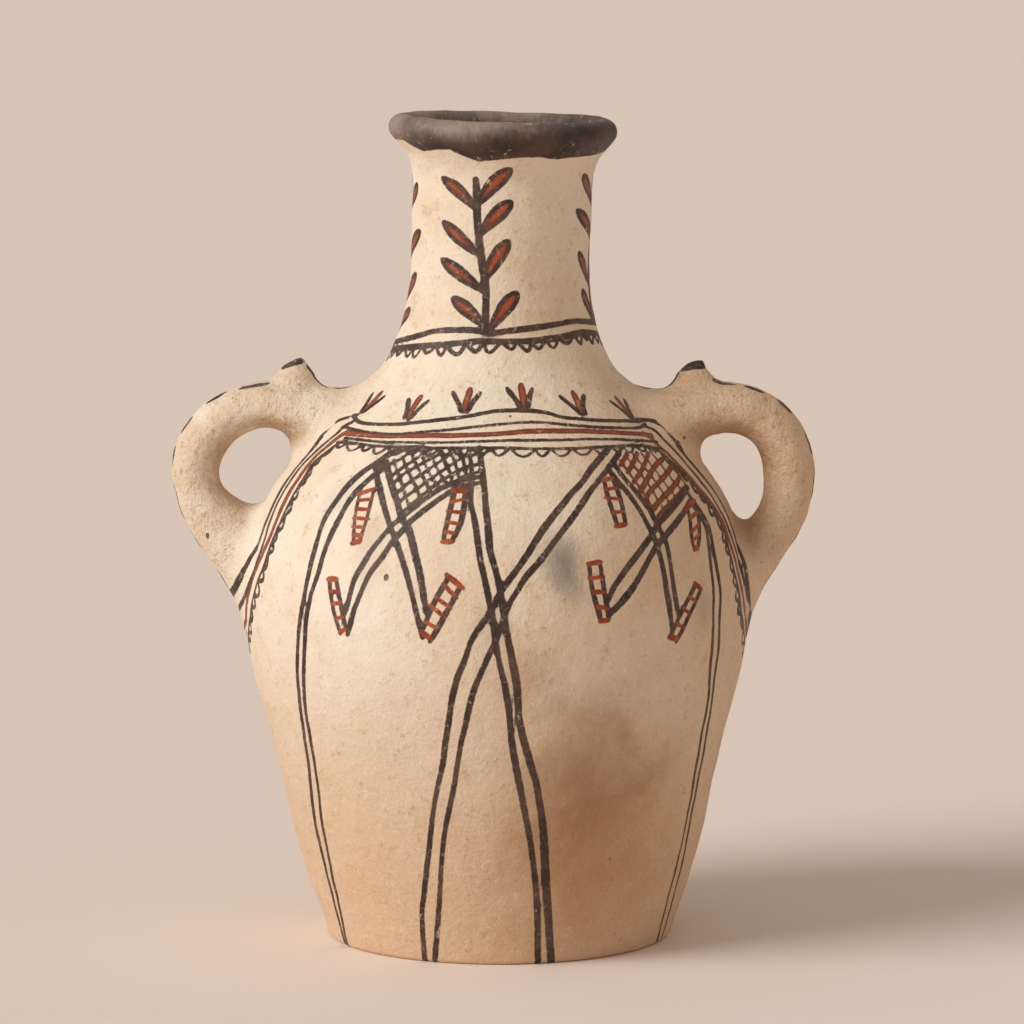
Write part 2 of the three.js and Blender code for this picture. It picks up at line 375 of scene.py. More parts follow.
class Brush:
    def __init__(self, places, outside):
        self.angle = np.degrees(np.arctan2(places[:, 0], -places[:, 1]))
        self.height = places[:, 2] / mm
        self.radius = np.maximum(np.hypot(places[:, 0], places[:, 1]) / mm, 1)
        self.run = runAt(self.height)
        self.outside = outside
        self.layers = {name: np.full(len(places), farAway) for name in ("dark", "red", "over")}
        self.chance = random.Random(5)
        self.turn = 0
        self.flip = 1
        self.drift = 0

    def warp(self, path):
        angle, height = path[:, 0], path[:, 1]
        swing = self.drift * np.maximum(np.cos(np.radians(angle)), 0)
        return np.column_stack([
            angle * self.flip + self.turn + swing * 2.0 * np.sin(height * 0.04 + 1),
            height + swing * 2.4 * np.sin(np.radians(angle * 4) + 2),
        ])

    def near(self, path, reach):
        middle = (path[:, 0].min() + path[:, 0].max()) / 2
        half = (path[:, 0].max() - path[:, 0].min()) / 2
        runs = runAt(path[:, 1])
        half += math.degrees(reach / outerRadius(path[:, 1]).min())
        relative = (self.angle - middle + 180) % 360 - 180
        chosen = self.outside & (np.abs(relative) < half)
        chosen &= (self.run > runs.min() - reach) & (self.run < runs.max() + reach)
        index = np.flatnonzero(chosen)
        scale = np.radians(1) * self.radius[index]
        return index, relative[index] * scale, self.run[index], scale, middle, runs

    def gaps(self, path, halves):
        path = self.warp(path)
        index, x, y, scale, middle, runs = self.near(path, farAway + halves.max())
        best = np.full(len(index), farAway)
        for i in range(len(path) - 1):
            startX = (path[i, 0] - middle) * scale
            stepX = (path[i + 1, 0] - path[i, 0]) * scale
            stepY = runs[i + 1] - runs[i]
            fromX, fromY = x - startX, y - runs[i]
            share = np.clip((fromX * stepX + fromY * stepY) / np.maximum(stepX**2 + stepY**2, 1e-6), 0, 1)
            half = halves[i] + (halves[i + 1] - halves[i]) * share
            best = np.minimum(best, np.hypot(fromX - stepX * share, fromY - stepY * share) - half)
        return index, best

    def lay(self, layer, index, gap):
        self.layers[layer][index] = np.minimum(self.layers[layer][index], gap)

    def stroke(self, layer, points, width, ends=(0.85, 0.6), parts=5):
        path = smoothPath(points, parts)
        shares = np.linspace(0, 1, len(path))
        halves = np.full(len(path), width / 2)
        wave = self.chance.random() * 6
        steps = np.arange(len(path))
        halves *= 1 + 0.12 * np.sin(steps * 0.31 + wave) * np.cos(steps * 0.13 + wave * 2)
        halves *= ends[0] + (1 - ends[0]) * smoothStep(0, 0.1, shares)
        halves *= ends[1] + (1 - ends[1]) * smoothStep(0, 0.12, 1 - shares)
        path[:, 0] += np.degrees(0.3 * np.sin(steps * 0.37 + wave * 3) / outerRadius(path[:, 1]))
        self.lay(layer, *self.gaps(path, halves))

    def line(self, points, startWidth, endWidth):
        path = smoothPath(points, 5)
        steps = np.arange(len(path))
        wave = self.chance.random() * 6
        halves = np.linspace(startWidth, endWidth, len(path)) / 2
        halves *= 1 + 0.13 * np.sin(steps * 0.29 + wave) * np.cos(steps * 0.11 + wave * 2)
        path[:, 0] += np.degrees(0.3 * np.sin(steps * 0.33 + wave) / outerRadius(path[:, 1]))
        self.lay("dark", *self.gaps(path, halves))

    def leaves(self, text, width, plump):
        rows = readRows(text)
        for tip, base in zip(rows[::2], rows[1::2]):
            self.leaf(tip, base, width, plump)

    def leaf(self, tip, base, width, plump, outline=2.0):
        middle = moved(((tip[0] + base[0]) / 2, (tip[1] + base[1]) / 2), 0, self.chance.uniform(0.2, 1.2))
        path = smoothPath([tip, middle, base], 8)
        shares = np.linspace(0, 1, len(path))
        rounded = np.sqrt(1 - (1 - np.minimum(shares / plump, 1)) ** 2)
        narrow = 1 - 0.62 * np.clip((shares - plump) / (1 - plump), 0, 1) ** 1.5
        halves = width / 2 * np.maximum(rounded * narrow, 0.25)
        index, gap = self.gaps(path, halves)
        self.lay("dark", index, np.abs(gap + outline / 2) - outline / 2)
        self.lay("red", index, gap + outline * 0.8)

    def scallops(self, points, pitch, depth, width, side=-1, start=0.0):
        path = smoothPath(points, 12)
        flat = np.column_stack([np.radians(path[:, 0]) * outerRadius(path[:, 1]), runAt(path[:, 1])])
        lengths = np.concatenate([[0], np.cumsum(np.hypot(*np.diff(flat, axis=0).T))])
        total = lengths[-1]
        at = total * start
        while at < total - pitch * 0.6:
            reach = pitch * self.chance.uniform(0.72, 1.26)
            deep = depth * self.chance.uniform(0.7, 1.2)
            lean = self.chance.uniform(-0.16, 0.16)
            arc = []
            for share in np.linspace(0, 1, 9):
                place = at + reach * share
                angle, height = (float(np.interp(place, lengths, path[:, k])) for k in (0, 1))
                before, after = (np.array([np.interp(place + d, lengths, flat[:, k]) for k in (0, 1)])
                                 for d in (-1, 1))
                way = (after - before) / max(np.hypot(*(after - before)), 1e-6)
                bulge = min(max(share + lean * share * (1 - share) * 4, 0), 1)
                drop = deep * math.sin(math.pi * bulge) ** 0.9 * side
                arc.append(moved((angle, height), -way[1] * drop, way[0] * drop))
            half = width / 2 * self.chance.uniform(0.85, 1.2)
            self.lay("dark", *self.gaps(np.array(arc), np.full(len(arc), half)))
            at += reach

    def ladder(self, left, right, count):
        railWidth = 2.2 if count == 7 else 2.7
        for side in (left, right):
            self.stroke("dark", side, railWidth, ends=(0.95, 0.8))
        left, right = (np.array(smoothPath(side, 12)) for side in (left, right))
        for i in range(count):
            share = i / (count - 1) * (len(left) - 1)
            slips = [share + self.chance.uniform(-0.7, 0.7) for side in (left, right)]
            ends = [side[round(min(max(slip, 0), len(side) - 1))] for side, slip in zip((left, right), slips)]
            over = (ends[1] - ends[0]) * self.chance.uniform(0.05, 0.22)
            barWidth = 2.8 if i in (0, count - 1) else 2.1
            self.stroke("over", [tuple(ends[0] - over), tuple(ends[1] + over)], barWidth, parts=3)

    def tuft(self, place, height=14):
        for layer, foot, lean, tall, wide in (("red", 0.2, 0.4, 1, 3.6), ("dark", -1.4, -6.2, 0.86, 2.8),
                                              ("dark", 1.2, 6.0, 0.84, 2.8)):
            base = moved(place, foot, 0)
            lean *= self.chance.uniform(0.85, 1.15)
            bend = moved(base, lean * 0.36, height * tall * 0.5)
            self.stroke(layer, [base, bend, moved(base, lean, height * tall)], wide, ends=(0.6, 0.7))


handShape = {
    "broad": (0.045, 0.0022), "fine": (0.012, 0.0006), "footClear": 7,
    "shift": [2.0, 1.8, 1.4, 1.0, 0.4, 0.6, 1.9, 3.2, 4.3],
    "tilt": 1.5, "rimDrop": 1.3, "middle": 0.42, "rimRadius": 48, "cage": (360, 400),
}


def leanShift(height):
    shift = handShape["shift"]
    return np.interp(height / handShape["cage"][1], np.linspace(0, 1, len(shift)), shift)


wrapReach = {"front": 140, "halvings": 24}


def wrap(text):  # columns and rows of the photograph, as angle and height on the wall
    tilt = math.radians(cameraSetup["tilt"])
    middle = cameraSetup["pixels"] / 2
    reach = cameraSetup["lens"] / cameraSetup["sensor"] * cameraSetup["pixels"]
    back = np.array([0, -math.cos(tilt), math.sin(tilt)])
    up = np.array([0, back[2], -back[1]])
    eye = (np.array(cameraSetup["target"]) + back * cameraSetup["distance"]) / mm
    wrapped = []
    for column, row in readRows(text):
        ray = up * (middle - row) / reach - back
        ray[0] = (column - middle) / reach
        near, far = (-wrapReach["front"] - eye[1]) / ray[1], -eye[1] / ray[1]
        for step in range(wrapReach["halvings"]):
            half = (near + far) / 2
            spot = eye + ray * half
            sideways = spot[0] - leanShift(spot[2])
            if math.hypot(sideways, spot[1]) > outerRadius(spot[2]):
                near = half
            else:
                far = half
        wrapped.append((math.degrees(math.atan2(sideways, -spot[1])), float(spot[2])))
    return wrapped


# neck, shoulder and sides by angle from the front in degrees and height in millimetres
neckArt = {
    "upperLine": "-91,289 -63,294 -49,297 -37,299 -17,300 -5,299 7,300 19,301 32,302 53,303 75,301 91,299",
    "lowerLine": "-91,286 -50,291 -29,293 -11,295 1,295 18,295 38,296 61,297 91,293",
    "frontStem": "-17,372 -16,357 -14,345 -12,333 -9,319 -8,302",
    "rightStem": "86,372 86,345 82,320 76,302",
    "leftStem": "-89,370 -88,345 -90,318 -93,297",
    "tufts": "-60,259 -35,259 -13,263 11,265 35,261 59,257",
    "frontLeft": "-41,372 -16,358 -41,351 -14,336 -41,333 -11,319 -31,315 -8,302",
    "frontRight": "5,378 -16,360 6,362 -14,346 5,343 -11,323 11,318 -5,301",
    "rightLeaves": "62,374 86,358 57,357 87,341 61,336 82,319 66,317 76,303 112,374 87,360 113,355 87,340 "
                   "110,336 83,322 103,316 79,302",
    "leftLeaves": "-71,367 -88,355 -64,345 -88,331 -68,324 -90,310 -72,307 -92,295 -113,371 -89,357 -114,352 "
                  "-89,337 -116,333 -90,318 -112,314 -92,300",
}
shoulderArt = [  # layer, width, path; the last row carries the scallops
    ("dark", 2.5, "-64,257 -54,255 -35,257 -13,261 1,264 11,264 19,263 28,260 57,256 66,255.6 71.5,254.2"),
    ("dark", 1.9, "-65,252 -41,252 -25,254 -7,257 13,259 34,256 55,253 65,254"),
    ("red", 3.4, "-59,250 -31,252 1,254 13,255 33,254 62,249"),
    ("dark", 1.9, "-58,248 -30,249 1,251 18,251 38,250 62,246"),
    ("dark", 1.9, "-60,246 -29,247 1,248 24,247 48,246 61,243"),
]
brushSizes = {  # line widths; scallops by pitch, depth and line; leaves by width and where they are widest
    "upperLine": 3.1, "lowerLine": 3.3, "frontStem": 3.9, "sideStem": 3.6,
    "neckScallops": (8.2, 4.8, 1.9), "shoulderScallops": (9.6, 4.2, 1.6), "sideScallops": (9.2, 4.6, 2.2),
    "frontLeft": (7.2, 0.42), "frontRight": (8.0, 0.38), "sideLeaves": (7.4, 0.4),
}
sideArt = {
    "left": [
        ("dark", 2.6, "-61,257.5 -66,256.6 -69.6,254 -71,250 -71.2,244 -72,238"),
        ("dark", 3.6, "-71.2,244 -72,238 -72.7,231 -73.1,224 -73,216 -73.3,208.5 -74.4,201 -76.2,192.5 "
                      "-78,184.5 -80.3,177.5 -84.5,170.3 -91,165"),
        ("dark", 3, "-60,254.5 -63.6,252.5 -64.2,249.6 -65.6,246 -67.2,242 -68.4,238 -69.5,234 -70,229 "
                    "-70.2,222 -70.4,215 -70.5,208 -70.9,202 -71.6,196 -72.4,189.5 -74,182 -76.2,176 "
                    "-79.9,167.8 -83,163.5 -91,156"),
        ("red", 3.8, "-58,250.8 -60.5,249 -62.8,245.5 -64.3,241 -65.2,236 -66,231 -66.3,225 -66.2,219 "
                     "-66.5,212 -67.2,205 -68.3,198.5 -70,192 -72.2,185.5 -74.6,178.5 -76.8,170.5 "
                     "-79,161.5 -81,156 -91,144"),
        ("dark", 2.6, "-55,247 -58.5,245.3 -60.7,242.4 -62.2,238.5 -63.2,234 -63.4,229 -63.5,223 "
                      "-63.4,217 -63.9,211 -64.8,205 -66,198 -66.7,192 -67.7,186.5 -69.2,181 "
                      "-70.4,175.3 -72.2,170 -73.7,164 -76,157 -91,133"),
    ],
    "right": [
        ("dark", 2.2, "62,256.6 67,255.2 69.9,252.9 71.2,249 72.3,244 72.4,239.5"),
        ("dark", 3.6, "72.3,244 72.4,239.5 73,234 74,228 75.3,222 76.4,215.5 77.1,207 77.6,198.5 "
                      "77.8,189.5 78,180 78.8,172 80,165.5 84,158 91,151"),
        ("dark", 2.8, "62,253.5 66.4,250.6 67.3,245.6 67.8,241 68.6,236 69.3,230.5 70.4,224.4 71.3,217 "
                      "72.6,208 74,199 75,190 75.9,180.5 77,171.6 79,162 84,153 91,145"),
        ("red", 3.6, "58,250 60,247.5 60.9,244 62,240.5 63.1,235.7 64.6,230.7 66.1,225 67.5,218.6 "
                     "69.4,211.8 71,203.2 72.1,193.4 73,184.6 74,175.4 76,165 80,154 91,139"),
        ("dark", 2.6, "55,244.5 57.6,243 59.4,240.6 61,236.8 62.7,232 64.5,226.9 66,221 67.4,214.5 "
                      "68.8,207.5 69.9,198.5 70.3,190.6 70.8,181 71.6,172.2 73.5,163 78,151 91,131"),
    ],
}
sideLines = [
    (4.2, 2.3, "-24,247 -30.8,245.8 -34.9,242.9 -37.9,239 -40.4,235 -42.3,230.6 -43.9,226.2 "
               "-44.8,221.5 -45.5,217 -46.2,211.5 -46.6,205.2 -46.9,198 -47.2,190 -47.7,182 "
               "-48.2,175.3 -49.3,164 -51,148 -52.8,130 -54.2,115 -55.8,95 -58,75 -59.8,49 -60.3,32 "
               "-61,14 -62,2"),
    (4.1, 2.1, "-33.7,238 -35.5,235 -37.4,231.8 -38.9,228 -40,223.5 -41,218.6 -41.7,213.5 -42.3,207.5 "
               "-43,201.5 -43.8,195.5 -44.3,189.5 -45.1,182.5 -46,175 -47,166.5 -48.8,148 -50.8,127 "
               "-52,109 -53.4,91 -55.3,66 -56.6,40 -58,20 -61,0"),
    (3, 1.9, "58.5,219 60.3,208.3 59.9,198.6 59.3,189 58.5,176.7 57.4,162 57.5,144 59.5,123 60.3,104 "
             "62,78 63.2,53 63.2,33 64,15 65.5,0"),
    (3, 1.9, "59,223 61.8,209 61.9,198 61.6,188 61.2,176 60.4,161 60.6,141 61.8,120 63.2,100 65,75 "
             "66.8,49 67.5,29 68.5,13 69.5,0"),
]
# the front's figures as columns and rows read off the photograph
figureArt = {
    "long": [
        (2.9, 3.3, "471,484 471,500 473,513 475,527 479,555 486,583 491,609 495,641 499,661 505,683 508,705 "
                   "510,729 513,749 522,795 530,843 535,885 538,922 539,962"),
        (3, 4, "478,448 481,461 484,482 485,503 488,534 490,549 495,568 499,588 503,612 509,641 513,663 "
               "516,685 518,707 521,727 531,766 536,786 543,830 546,874 548,918 551,962"),
        (3.4, 2.7, "606,451 598,461 589,471 580,484 568,498 545,527 525,557 503,588 490,613 472,640 465,658 "
                   "458,676 453,698 449,720 445,742 443,764 435,804 429,848 424,892 422,914 425,962"),
        (3.2, 2.6, "618,454 607,470 591,490 581,504 560,534 537,565 526,576 517,590 509,605 497,639 488,656 "
                   "480,674 474,691 466,724 460,746 453,790 445,834 441,878 438,914 434,962"),
    ],
    "strokes": [
        (3.1, "376,464 378,482 381,496 389,522 399,548 408,580 416,612 424,637"),
        (3.5, "386,462 395,497 402,518 409,530 415,556 422,584 427,612"),
        (3, "345,613 350,595 355,580 363,565 371,551 389,530 399,520 420,503 441,489 465,480 479,477"),
        (3.1, "348,634 351,621 357,604 371,573 381,559 391,544 402,532 412,520 434,503 455,490 465,486 "
              "480,483"),
        (3.2, "614,465 623,476 641,498 650,510 656,521 663,534 667,547 672,576 676,603 678,618"),
        (3.2, "609,470 618,482 638,507 647,521 653,534 658,550 663,568 668,600 671,635"),
        (3.4, "609,598 617,583 633,560 652,534 661,521 679,499 687,487"),
        (3.4, "610,614 621,603 630,591 638,579 656,548 675,524 690,499"),
    ],
    "leftLattice": [
        (1.8, "394,460 399,475 403,490 409,507"), (1.8, "403,457 413,482 421,501"),
        (1.8, "412,454 423,478 431,495"), (1.7, "421,452 431,476 438,489"),
        (1.7, "430,451 441,476 446,484"), (1.8, "439,450 450,474 453,482"),
        (1.9, "449,450 455,462 459,479"), (2, "459,450 464,462 467,479"), (2.3, "469,449 471,465 471,484"),
        (2.1, "383,467 401,459 411,452"), (2.1, "388,478 401,469 423,455 431,450"),
        (2, "391,488 403,475 429,460 441,453"), (2, "394,496 408,483 433,467 452,454"),
        (2, "397,504 412,492 437,475 461,459 480,454"), (2.1, "400,514 415,502 441,482 465,468 482,464"),
        (1.7, "462,477 482,471"), (2.3, "386,463 378,466 375,475"),
    ],
    "rightLattice": [
        (2.6, "626,454 620,466"), (2.6, "637,453 627,473"), (2.7, "648,453 633,483"),
        (2.8, "662,459 652,470 639,492"), (2.9, "671,466 653,488 645,501"),
        (2.9, "680,476 661,499 652,511"), (2.6, "684,488 667,507 658,517"),
        (1.7, "619,461 633,479 655,511"), (1.6, "626,458 649,487 665,513"),
        (1.6, "632,455 656,484 672,507"), (1.6, "640,453 663,481 677,500"),
        (1.6, "650,452 670,478 682,491"), (1.7, "663,458 685,485"),
    ],
    "ladders": [
        (7, "361,491 355,518 353,543", "374,489 367,519 360,543"),
        (6, "454,491 448,518 444,542", "466,489 461,520 452,542"),
        (5, "329,579 333,604 341,633", "337,579 341,605 346,629"),
        (6, "449,577 434,602 422,632", "461,587 447,612 430,641"),
        (5, "604,480 608,500 617,526", "611,476 620,499 626,524"),
        (5, "687,508 691,532 695,549", "694,501 699,524 698,549"),
        (5, "589,564 593,592 600,621", "600,562 604,592 608,620"),
        (5, "695,584 682,610 669,637", "701,589 690,614 675,641"),
    ],
}
# the lower edge of the rim's ink
rimEdge = ("-180,386 -140,384 -100,387 -64,389 -58,387 -50,385 -42,386 -30,387 -26,385 -14,381 -6,382 3,383 "
           "21,384 34,383 59,384 87,385 120,388 150,384 180,386")


def paintNeckFront(brush):
    for line in ("upperLine", "lowerLine"):
        path = readRows(neckArt[line])
        brush.stroke("dark", path, brushSizes[line], ends=(1, 1))
    brush.scallops(path, *brushSizes["neckScallops"])
    brush.stroke("dark", readRows(neckArt["frontStem"]), brushSizes["frontStem"], ends=(0.9, 1.25))
    for leaves in ("frontLeft", "frontRight"):
        brush.leaves(neckArt[leaves], *brushSizes[leaves])
    for place in readRows(neckArt["tufts"]):
        brush.tuft(place)


def paintNeckSides(brush):
    for side in ("right", "left"):
        brush.stroke("dark", readRows(neckArt[side + "Stem"]), brushSizes["sideStem"], ends=(0.9, 1.2))
        brush.leaves(neckArt[side + "Leaves"], *brushSizes["sideLeaves"])


def paintBody(brush):
    for layer, width, text in shoulderArt:
        band = readRows(text)
        brush.stroke(layer, band, width, ends=(0.9, 0.9))
    brush.scallops(band, *brushSizes["shoulderScallops"])
    for side, facing in (("left", 1), ("right", -1)):
        for layer, width, text in sideArt[side]:
            band = readRows(text)
            brush.stroke(layer, band, width, ends=(0.9, 1))
        brush.scallops(band, *brushSizes["sideScallops"], side=facing, start=0.06)
    for start, end, text in sideLines:
        brush.line(readRows(text), start, end)
    for start, end, text in figureArt["long"]:
        brush.line(wrap(text), start, end)
    for layer, kind in (("dark", "strokes"), ("dark", "leftLattice"), ("red", "rightLattice")):
        for width, text in figureArt[kind]:
            brush.stroke(layer, wrap(text), width, ends=(0.9, 0.8))
    for count, left, right in figureArt["ladders"]:
        brush.ladder(wrap(left), wrap(right), count)


def paintAll(brush):
    for turn, flip, drift in ((0, 1, 0), (180, -1, 1)):
        brush.turn, brush.flip, brush.drift = turn, flip, drift
        paintNeckFront(brush)
        paintBody(brush)
    brush.turn, brush.flip, brush.drift = 0, 1, 0
    paintNeckSides(brush)


brush = Brush(vertexPlaces(jar), along >= jointIndex["crest"])
paintAll(brush)
edgeHeight = np.interp(brush.angle, *np.array(readRows(rimEdge)).T)
rimGap = np.where(brush.outside, edgeHeight - brush.height, jarShape["inkInside"] - brush.height)
storeLayers(jar, {**brush.layers, "rim": np.clip(rimGap, -farAway, farAway), "inside": ~brush.outside,
                  "handle": 0, "soil": 0})
print("brushwork laid")


# the wall is split into its courses, then shaped by hand

def markCourses():
    for name, slot in courses:
        jar.data.materials.append(bpy.data.materials.new("split_" + name))
    corners = readValues(jar.data.loops, "vertex_index").astype(int)
    starts = readValues(jar.data.polygons, "loop_start").astype(int)
    middles = np.add.reduceat(along[corners], starts) / np.diff([*starts, len(corners)])
    count = len(jointPlaces)
    innerBreaks = [jointIndex["inner", i] for i in range(count)]
    outerBreaks = [jointIndex["outer", i] for i in reversed(range(count))]
    inner, outer = np.searchsorted(innerBreaks, middles), count - np.searchsorted(outerBreaks, middles)
    course = np.where(middles > jointIndex["crest"], outer, inner)
    jar.data.polygons.foreach_set("material_index", course.astype(np.int32))


markCourses()


def roughen(piece):
    group = piece.vertex_groups.new(name="clear")
    heights = vertexPlaces(piece)[:, 2] / mm
    weights = np.round(smoothStep(1, handShape["footClear"], heights), 2)
    for value in np.unique(weights):
        chosen = np.flatnonzero(weights == value)
        group.add(chosen.tolist(), float(value), "REPLACE")
    for name in ("broad", "fine"):
        displace(piece, name, *handShape[name], handShape["middle"], "clear")


roughen(jar)


def leanJar(piece):
    wide, tall = handShape["cage"]
    deselectAll()
    bpy.ops.object.add(type="LATTICE", location=(0, 0, tall / 2 * mm))
    cage = bpy.context.object
    cage.scale = (wide * mm, wide * mm, tall * mm)
    cage.data.points_u, cage.data.points_v, cage.data.points_w = 2, 2, len(handShape["shift"])
    cage.data.interpolation_type_u = cage.data.interpolation_type_v = "KEY_LINEAR"
    for point in cage.data.points:
        share = point.co.z + 0.5
        high = smoothStep(0.7, 1, share)
        tilt = handShape["tilt"] * wide / 2 / handShape["rimRadius"] * high
        drop = math.copysign(tilt, point.co.x) + handShape["rimDrop"] * high
        point.co_deform = (point.co.x + leanShift(share * tall) / wide, point.co.y, point.co.z - drop / tall)
    bpy.context.view_layer.update()
    finishWith(piece, "LATTICE", object=cage)
    makeActive(cage)
    bpy.ops.object.delete()


leanJar(jar)
print("jar shaped")


# handles: each ring by its outer edge, its inner edge (distance from the axis, height) and its width

handleShape = {
    "leftRings": (
        "60,271,95,238.5,47 67,266.8,97.5,241.5,46 76,267.2,101,244.6,42 87,268.8,105.5,246.6,38 "
        "97,270.2,109.5,247.7,35 106,271.2,113.5,247.9,33 114.5,271.3,117.5,247,31 "
        "123.5,269.4,121.5,245.2,29.5 132,266.2,125,243,28.5 139.5,262,128,240,28 "
        "146,255.8,130.8,236.3,28 151.3,248.8,132.8,232.8,28 154.9,241.5,133.9,229,28 "
        "157,233,134.2,225.8,28 157.2,224.5,133.6,222.4,28 155.6,216.5,132,219.6,28 "
        "152.7,205.8,129.6,216.9,28.5 148.3,197.2,126.8,214.6,29 142.6,188.2,123.8,212.9,30.5 "
        "136,179,121,212,33 129.2,169.5,118.6,211.4,37 124,160,116.8,211.2,42 121.2,150,115.4,211.4,45"
    ),
    "rightRings": (
        "60,271,95,238.5,47 67,266.4,97.5,240.5,46 76,266.6,101,242.8,42 86.5,268.4,105,244.4,38 "
        "96.5,270,109.5,245.4,35 105.5,271,114,245.6,33 114.5,271.1,118,245,31 "
        "123.7,269.3,121.6,243.8,29.5 131.8,265.9,124.6,241.8,28.5 139.5,261.6,127,238.9,28 "
        "145.6,255.4,128.8,235.2,28 150.4,248,129.9,231.4,28 153.6,240.5,130.4,227.3,28 "
        "155.5,232,130.6,223,28 155.8,223,130.4,218.8,28 154.6,214.5,129.8,214.6,28 "
        "152.2,205.2,128.6,210.8,28.5 147.9,196,126.8,207.4,29 142.4,187,124.6,204.6,30.5 "
        "136.2,178,122,203,33 129.8,168.5,119.8,203,37 124.4,158,118,203.6,42 121.4,148,116.6,205,45"
    ),
    "sides": 20, "plump": 1.012, "seat": -0.00022, "skirt": 13, "holeSkirt": 6, "fold": 70,
    "broad": (0.03, 0.0016), "fine": (0.008, 0.0009),
    "hole": (126, 233), "holeMiddle": 226, "paintReach": 14, "bandAbove": 236, "bandReach": 3.5,
}
handleDashes = {  # first ring, last ring, degrees round the strap, width
    "left": [(5.5, 7.0, 22, 5.2), (7.9, 9.1, 15, 4.4), (10.3, 11.3, 13, 4.0), (12.3, 13.3, 13, 4.0),
             (14.5, 16.2, 12, 4.0), (17.0, 18.0, 12, 3.8), (19.1, 20.2, 12, 3.6)],
    "right": [(4.8, 6.2, 14, 4.4), (6.8, 7.8, 16, 4.4), (8.8, 9.8, 16, 4.4), (11.3, 12.5, 14, 4.2),
              (13.4, 15.1, 13, 4.2), (16.6, 17.8, 12, 3.8), (18.8, 20, 12, 3.6)],
}
saddleLines = {
    "left": [[(90, 277.6), (87.5, 273.6), (84.5, 270.8), (81.5, 269)], [(76, 267.6), (70, 267), (64.5, 268)]],
    "right": [[(88.5, 274.4), (86, 271), (82, 268.8), (78.5, 268)], [(73.5, 267.2), (68, 267.6)]],
}


def handleRings(side):
    rings = []
    for outX, outZ, inX, inZ, width in readRows(handleShape[side + "Rings"]):
        out, inner = Vector((outX, 0, outZ)) * mm, Vector((inX, 0, inZ)) * mm
        across = out - inner
        rings.append(((out + inner) / 2, math.atan2(across.z, across.x), across.length / 2, width / 2 * mm))
    return rings


def growRing(before, after):
    (spot0, angle0, thick0, wide0), (spot1, angle1, thick1, wide1) = before, after
    growBy(spot1 - spot0)
    turnBy((angle1 - angle0 + math.pi) % (2 * math.pi) - math.pi, spot1)
    scaleBy((thick1 / thick0, wide1 / wide0, thick1 / thick0), spot1)


def buildHandle(side):
    rings = handleRings(side)
    piece = startRing(handleShape["sides"])
    bpy.ops.object.vertex_group_add()
    editAll(piece)
    spot, angle, thick, wide = rings[0]
    scaleBy((thick, wide, 1))
    turnBy(angle)
    bpy.ops.transform.translate(value=spot)
    for before, after in zip(rings, rings[1:]):
        growRing(before, after)
    bpy.ops.mesh.select_all(action="DESELECT")
    bpy.ops.mesh.select_non_manifold()
    bpy.ops.object.vertex_group_assign()
    bpy.ops.transform.edge_crease(value=1)
    selectAll()
    scaleBy((1, handleShape["plump"], 1))
    bpy.ops.mesh.fill_holes(sides=0)
    leaveEdit(outwards=True)
    return piece


def strokeGap(places, path, halves):
    best = np.full(len(places), farAway)
    for i in range(len(path) - 1):
        step = path[i + 1] - path[i]
        offset = places - path[i]
        share = np.clip(offset @ step / (step @ step), 0, 1)
        half = halves[i] + (halves[i + 1] - halves[i]) * share
        best = np.minimum(best, np.linalg.norm(offset - share[:, None] * step, axis=1) - half)
    return best


def spinePoint(side, place, around):
    rings = handleRings(side)
    low = min(int(place), len(rings) - 2)
    share = place - low
    spot, angle, thick, wide = (
        rings[low][k] * (1 - share) + rings[low + 1][k] * share for k in range(4)
    )
    outward = Vector((math.cos(angle), 0, math.sin(angle)))
    turn = math.radians(around)
    point = spot + outward * thick * math.cos(turn) - Vector((0, 1, 0)) * wide * math.sin(turn)
    sign = -1 if side == "left" else 1
    return np.array([point.x * sign, point.y, point.z]) / mm


def nearWall(places):
    rises, outward = np.empty(len(places)), np.empty((len(places), 3))
    for i, place in enumerate(places):
        found, spot, outward[i], face = jar.closest_point_on_mesh(Vector(place))
        rises[i] = (place - spot) @ outward[i]
    return rises / mm, outward


def spreadSkirt(piece):
    places, normals = vertexPlaces(piece) / mm, readValues(piece.data.vertex_normals, "vector", 3)
    height = places[:, 2]
    fromAxis = places[:, :2] - np.column_stack([leanShift(height), 0 * height])
    radius = np.hypot(*fromAxis.T)
    slope = (outerRadius(height + 1) - outerRadius(height - 1)) / 2
    steep = np.hypot(1, slope)
    wallOut = np.column_stack([fromAxis / radius[:, None], -slope]) / steep[:, None]
    gap = nearWall(places * mm)[0]
    sideways = normals - np.sum(normals * wallOut, axis=1)[:, None] * wallOut
    length = np.linalg.norm(sideways, axis=1)
    even = smoothStep(0.1, 0.22, length) / np.maximum(length, 0.1)
    sideways *= (1 + (even - 1) * (1 - smoothStep(0.3, 2, gap)))[:, None]
    low = smoothStep(0.1, 0.7, normals[:, 2]) * (height < handleShape["holeMiddle"])
    reach = handleShape["skirt"] + (handleShape["holeSkirt"] - handleShape["skirt"]) * low
    rest = reach - np.clip(gap, 0, reach)
    places += sideways * (reach - np.sqrt(reach**2 - rest**2))[:, None]
    movePoints(piece, places * mm)
    return gap


def hugJar(piece, gap):
    places = vertexPlaces(piece)
    hold = 1 - smoothStep(3, 10, gap)
    wanted = np.clip(gap, 0, None) + handleShape["seat"] / mm * (1 - smoothStep(0, 0.6, gap))
    rises, outward = nearWall(places)
    movePoints(piece, places + outward * ((wanted - rises) * hold * mm)[:, None])


